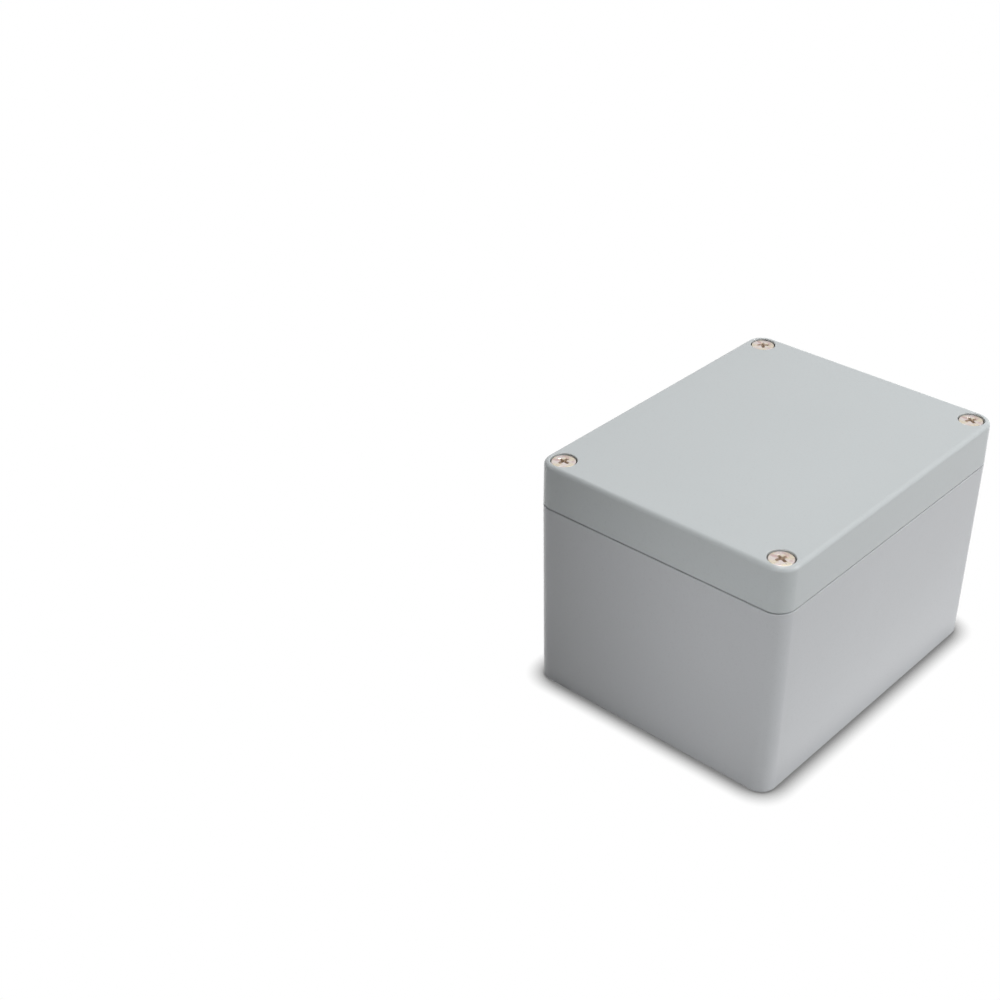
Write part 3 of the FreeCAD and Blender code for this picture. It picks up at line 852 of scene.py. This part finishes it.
def build_lid(sizes, fasteners):
    """The shallow upper shell with its screw wells, groove and rib."""
    skin = Skin()
    low = SEAM + sizes.seam_gap
    lean = (LID_TOP - low) * math.tan(sizes.draft)
    sides = profile(
        (HALF_WIDTH, low),
        (0, low, sizes.seam_rounding),
        (lean, LID_TOP, sizes.top_rounding),
        (HALF_WIDTH, LID_TOP),
    )
    outside = skin.stack(lambda inset: box_outline(sizes, inset), sides)
    line = SealLine(sizes)
    groove_in = sizes.tongue + sizes.groove_space
    roof = LID_TOP - sizes.roof
    fine = sizes.fine_rounding
    underside = profile(
        (-1, low),
        (-sizes.groove_space, low, fine / 2),
        (-sizes.groove_space, GROOVE_TOP, 0),
        (groove_in, GROOVE_TOP, 0),
        (groove_in, low, fine),
        (line.cavity, low, fine),
        (line.cavity, roof, sizes.roof_rounding),
        (HALF_WIDTH, roof),
    )
    inside = skin.stack(line.outline, underside)
    skin.sheet(inside[-1])

    well = HEAD_RADIUS + fasteners.well_space
    seat = SCREW_HIGH.z - fasteners.head_height
    bore = fasteners.shank_radius + fasteners.shank_space
    foot = INSERT_HALF + sizes.column_wall - 2 * sizes.groove_space
    path = profile(
        (HALF_WIDTH, LID_TOP),
        (well, LID_TOP, fine),
        (well, seat, 0),
        (bore, seat, fine),
        (bore, SEAM, fine),
        (foot, SEAM, fine),
        (foot, low, 0),
        (HALF_WIDTH, low),
    )
    wells = [skin.stack(lambda radius: circle(axis, radius), path) for axis in SCREW_AXES.values()]
    skin.sheet(outside[-1], *[loops[0] for loops in wells])
    skin.sheet(outside[0], inside[0], *[loops[-1] for loops in wells])
    return skin.finish("lid_shell", finish_of("Lid ABS", lid_plastic))


def build_gasket(sizes):
    """The rubber seal: a ring of a rounded section that follows the groove."""
    skin = Skin()
    outer = sizes.seal_space - sizes.groove_space
    inner = sizes.tongue - outer
    round_by = sizes.seal_rounding
    section = closed_profile(
        (outer, SEAL_LOW.z, round_by),
        (inner, SEAL_LOW.z, round_by),
        (inner, SEAL_HIGH.z, round_by),
        (outer, SEAL_HIGH.z, round_by),
    )
    loops = skin.stack(SealLine(sizes).outline, section)
    skin.wall(loops[-1], loops[0])
    return skin.finish("gasket_ring", finish_of("Seal rubber", rubber_material))


def thread_row(sizes, height):
    """The outline of a screw's threaded shank at one height."""
    near_head = (SCREW_HIGH.z - sizes.head_height - height) / sizes.thread_pitch
    full = min(max(near_head - 1, 0), 1) * sizes.thread_depth
    tip = sizes.shank_radius - sizes.tip_chamfer + height - SCREW_LOW.z
    points = []
    for step in range(TURNED_STEPS):
        turn = step / TURNED_STEPS
        phase = (height / sizes.thread_pitch - turn) % 1
        groove = min(max(THREAD_SLOPE * (1 - abs(2 * phase - 1)) - THREAD_CREST, 0), 1)
        radius = min(sizes.shank_radius - full * groove, tip)
        points.append((radius * math.cos(turn * FULL_TURN), radius * math.sin(turn * FULL_TURN)))
    return points


def cross(sizes, share_of_mouth):
    """A cross about the axis, this large against the recess's mouth."""
    span = sizes.recess_span / 2 * share_of_mouth
    wing = sizes.recess_wing / 2 * share_of_mouth
    tip = wing * WING_TIP_ROUNDING
    root = wing * WING_ROOT_ROUNDING
    corners = []
    for quarter in range(4):
        for across, along, radius in ((span, -wing, tip), (span, wing, tip), (wing, wing, root)):
            corners.append((*turned((across, along), quarter), radius))
    return closed_profile(*corners)


def screw_mesh(sizes, material):
    """One screw about its own axis, with a round head, a thread and a cross recess."""
    skin = Skin()
    seat = SCREW_HIGH.z - sizes.head_height
    rim = SCREW_HIGH.z - sizes.head_crown
    crown = [(HEAD_RADIUS * out, SCREW_HIGH.z - sizes.head_crown * drop, 0) for out, drop in CROWN]
    head = profile(
        (0, SCREW_HIGH.z),
        *crown,
        (HEAD_RADIUS, rim, sizes.head_rounding),
        (HEAD_RADIUS, seat, sizes.head_rounding * HEAD_FOOT_ROUNDING),
        (sizes.shank_radius, seat, 0),
        (sizes.shank_radius, 0),
    )
    loops = skin.stack(lambda radius: circle((0, 0), radius, TURNED_STEPS), head)
    skin.mesh.faces.new(loops[0])
    rows = round((seat - SCREW_LOW.z) / sizes.thread_pitch * THREAD_ROWS)
    above = loops[-1]
    for row in range(1, rows + 1):
        height = seat + (SCREW_LOW.z - seat) * row / rows
        below = skin.loop(thread_row(sizes, height), height)
        skin.wall(above, below)
        above = below
    skin.mesh.faces.new(above)

    cutter = Skin()
    bottom = SCREW_HIGH.z - sizes.recess_depth
    taper = (1 - sizes.recess_end) / sizes.recess_depth
    over = sizes.head_crown
    path = ((1 + taper * over, SCREW_HIGH.z + over), (sizes.recess_end, bottom))
    ends = cutter.stack(lambda size: cross(sizes, size), path)
    for end in ends:
        cutter.sheet(end)

    blank = skin.finish("screw_blank", material)
    tool = cutter.finish("recess_cutter", material)
    blank.modifiers.clear()
    cut = blank.modifiers.new("Recess", "BOOLEAN")
    cut.solver = "EXACT"
    cut.object = tool
    graph = bpy.context.evaluated_depsgraph_get()
    made = bmesh.new()
    made.from_object(blank, graph)
    for temporary in (blank, tool):
        bpy.data.meshes.remove(temporary.data)
    bmesh.ops.remove_doubles(made, verts=made.verts[:], dist=SAME_PLACE)
    return made


def build_screws(sizes):
    """The four lid screws, each turned as it happened to be left."""
    material = finish_of("Plated steel", plated_material)
    first = None
    screws = []
    for corner, turn in zip(CORNERS, sizes.turns):
        if first is None:
            screw = first = add_piece(f"screw_{corner}", screw_mesh(sizes, material), material)
        else:
            screw = first.copy()
            screw.name = f"screw_{corner}"
            bpy.context.scene.collection.objects.link(screw)
        screw.location = (*SCREW_AXES[corner], 0)
        screw.rotation_euler.z = turn
        screws.append(screw)
    return screws


def build_insert(sizes, corner):
    """One brass insert: a hexagon with a groove round its middle and a threaded bore."""
    skin = Skin()
    axis = SCREW_AXES[corner]
    low, high = INSERT_LOW.z, INSERT_HIGH.z
    edge = sizes.insert_bore * INSERT_EDGE
    waist = sizes.insert_waist
    band = sizes.insert_band
    path = (
        (edge, low),
        (0, low + edge),
        (0, low + band),
        (waist, low + band + waist / 2),
        (waist, high - band - waist / 2),
        (0, high - band),
        (0, high - edge),
        (edge, high),
    )
    outside = skin.stack(lambda inset: hexagon(axis, INSERT_HALF - inset, edge), path)
    bore = [(sizes.insert_bore + 2 * edge, low), (sizes.insert_bore, low + 2 * edge)]
    crests = int((high - low - 4 * edge) / sizes.thread_pitch)
    for crest in range(crests):
        height = low + 2 * edge + (crest + 0.5) * sizes.thread_pitch
        bore.append((sizes.insert_bore + sizes.thread_depth / 2, height))
        bore.append((sizes.insert_bore, height + sizes.thread_pitch / 2))
    bore.append((sizes.insert_bore + 2 * edge, high))
    hole = skin.stack(lambda radius: circle(axis, radius, TURNED_STEPS), bore)
    skin.sheet(outside[0], hole[0])
    skin.sheet(outside[-1], hole[-1])
    return skin.finish(f"threaded_insert_{corner}", finish_of("Brass", brass_material))


def look_at(thing, place, target, roll=0):
    """Puts a lamp or the camera at a place and turns it to a target."""
    thing.location = place
    look = (Vector(target) - Vector(place)).to_track_quat("-Z", "Y")
    thing.rotation_mode = "QUATERNION"
    thing.rotation_quaternion = look @ Quaternion((0, 0, 1), -roll)


def add_floor(finishes):
    """The paper that the box stands on."""
    mesh = bpy.data.meshes.new("Floor")
    corners = [(x * FLOOR_HALF, y * FLOOR_HALF, 0) for x, y in ((-1, -1), (1, -1), (1, 1), (-1, 1))]
    mesh.from_pydata(corners, [], [(0, 1, 2, 3)])
    mesh.materials.append(floor_material(finishes))
    floor = bpy.data.objects.new("Floor", mesh)
    bpy.context.scene.collection.objects.link(floor)


def add_lamp(name, kind, place, target, power):
    """One lamp, which its caller gives a size."""
    light = bpy.data.lights.new(name, kind)
    light.energy = power
    lamp = bpy.data.objects.new(name, light)
    bpy.context.scene.collection.objects.link(lamp)
    look_at(lamp, place, target)
    return light


def add_lamps():
    """Soft boxes round the box, and soft spots that make its sides a little uneven."""
    for name, (place, width, power) in SOFT_BOXES.items():
        box = add_lamp(name, "AREA", place, MIDDLE, power)
        box.shape = "DISK"
        box.size = width
    for name, (place, target, cone, power) in SPOTS.items():
        spot = add_lamp(name, "SPOT", place, target, power)
        spot.spot_size = math.radians(cone)
        spot.spot_blend = 1
        spot.shadow_soft_size = SPOT_SIZE


def add_world():
    """White to look at; as a light, a soft glow from behind and below, as off a curved backdrop."""
    world = bpy.data.worlds.new("Studio")
    bpy.context.scene.world = world
    graph = Graph(world, "ShaderNodeOutputWorld")
    direction = graph.node("ShaderNodeTexCoord", output="Generated")
    brightest = Vector(GLOW_FROM).normalized()
    towards = graph.vectors("DOT_PRODUCT", direction, brightest, output="Value")
    nearness = graph.rise(towards, -GLOW_MIDDLE / GLOW_SLOPE, 1)
    brightness = GLOW_MIDDLE + GLOW_SLOPE
    glow = graph.mix_shaders(nearness, graph.background(0), graph.background(brightness))
    graph.surface(graph.mix_shaders(seen_directly(graph), glow, graph.background(1)))


def add_camera():
    """The camera where the photographer's was."""
    data = bpy.data.cameras.new("Camera")
    data.lens = LENS
    data.sensor_width = SENSOR
    camera = bpy.data.objects.new("Camera", data)
    bpy.context.scene.collection.objects.link(camera)
    look_at(camera, EYE, AIM, ROLL)
    bpy.context.scene.camera = camera
    bpy.context.scene.view_settings.view_transform = "Standard"


class ENCLOSURE_OT_base(bpy.types.Operator):
    """Build the lower shell"""

    bl_idname = "enclosure.base"
    bl_label = "Base"

    def execute(self, context):
        dress(build_base(context.scene.enclosure_shells), "base", "base")
        return {"FINISHED"}


class ENCLOSURE_OT_lid(bpy.types.Operator):
    """Build the lid"""

    bl_idname = "enclosure.lid"
    bl_label = "Lid"

    def execute(self, context):
        scene = context.scene
        lid = build_lid(scene.enclosure_shells, scene.enclosure_fasteners)
        dress(lid, "lid", "lid")
        return {"FINISHED"}


class ENCLOSURE_OT_gasket(bpy.types.Operator):
    """Build the seal in the lid's groove"""

    bl_idname = "enclosure.gasket"
    bl_label = "Gasket"

    def execute(self, context):
        dress(build_gasket(context.scene.enclosure_shells), "lid", "gasket")
        return {"FINISHED"}


class ENCLOSURE_OT_screws(bpy.types.Operator):
    """Build the four lid screws"""

    bl_idname = "enclosure.screws"
    bl_label = "Screws"

    def execute(self, context):
        screws = build_screws(context.scene.enclosure_fasteners)
        for corner, screw in zip(CORNERS, screws):
            dress(screw, f"screw_{corner}", f"lid_screw_{corner}")
        return {"FINISHED"}


class ENCLOSURE_OT_inserts(bpy.types.Operator):
    """Build the four brass inserts"""

    bl_idname = "enclosure.inserts"
    bl_label = "Inserts"

    def execute(self, context):
        for corner in CORNERS:
            insert = build_insert(context.scene.enclosure_fasteners, corner)
            dress(insert, "base", f"insert_{corner}")
        return {"FINISHED"}


class ENCLOSURE_OT_stage(bpy.types.Operator):
    """Set up the floor, the lamps and the camera"""

    bl_idname = "enclosure.stage"
    bl_label = "Stage"

    def execute(self, context):
        finishes = context.scene.enclosure_finishes
        add_floor(finishes)
        add_lamps()
        add_world()
        add_camera()
        return {"FINISHED"}


OPERATORS = (
    ENCLOSURE_OT_base,
    ENCLOSURE_OT_lid,
    ENCLOSURE_OT_gasket,
    ENCLOSURE_OT_screws,
    ENCLOSURE_OT_inserts,
    ENCLOSURE_OT_stage,
)
SETTINGS = {
    "enclosure_shells": ShellSizes,
    "enclosure_fasteners": FastenerSizes,
    "enclosure_finishes": Finishes,
}


class ENCLOSURE_PT_pieces(bpy.types.Panel):
    """The pieces of the enclosure and their settings"""

    bl_idname = "ENCLOSURE_PT_pieces"
    bl_label = "Sealed Enclosure"
    bl_space_type = "VIEW_3D"
    bl_region_type = "UI"
    bl_category = "Enclosure"

    def draw(self, context):
        for operator in OPERATORS:
            self.layout.operator(operator.bl_idname)
        for name, group in SETTINGS.items():
            box = self.layout.box()
            box.label(text=group.__doc__.splitlines()[0])
            for setting in group.__annotations__:
                box.prop(getattr(context.scene, name), setting)


def register():
    for kind in (*SETTINGS.values(), *OPERATORS, ENCLOSURE_PT_pieces):
        bpy.utils.register_class(kind)
    for name, group in SETTINGS.items():
        setattr(bpy.types.Scene, name, PointerProperty(type=group))


def unregister():
    for name in SETTINGS:
        delattr(bpy.types.Scene, name)
    for kind in reversed((*SETTINGS.values(), *OPERATORS, ENCLOSURE_PT_pieces)):
        bpy.utils.unregister_class(kind)


def main():
    """Builds every piece and sets up the stage."""
    register()
    for operator in OPERATORS:
        group, name = operator.bl_idname.split(".")
        if getattr(getattr(bpy.ops, group), name)() != {"FINISHED"}:
            raise RuntimeError(f"{operator.bl_label} was not built")


if __name__ == "__main__":
    main()
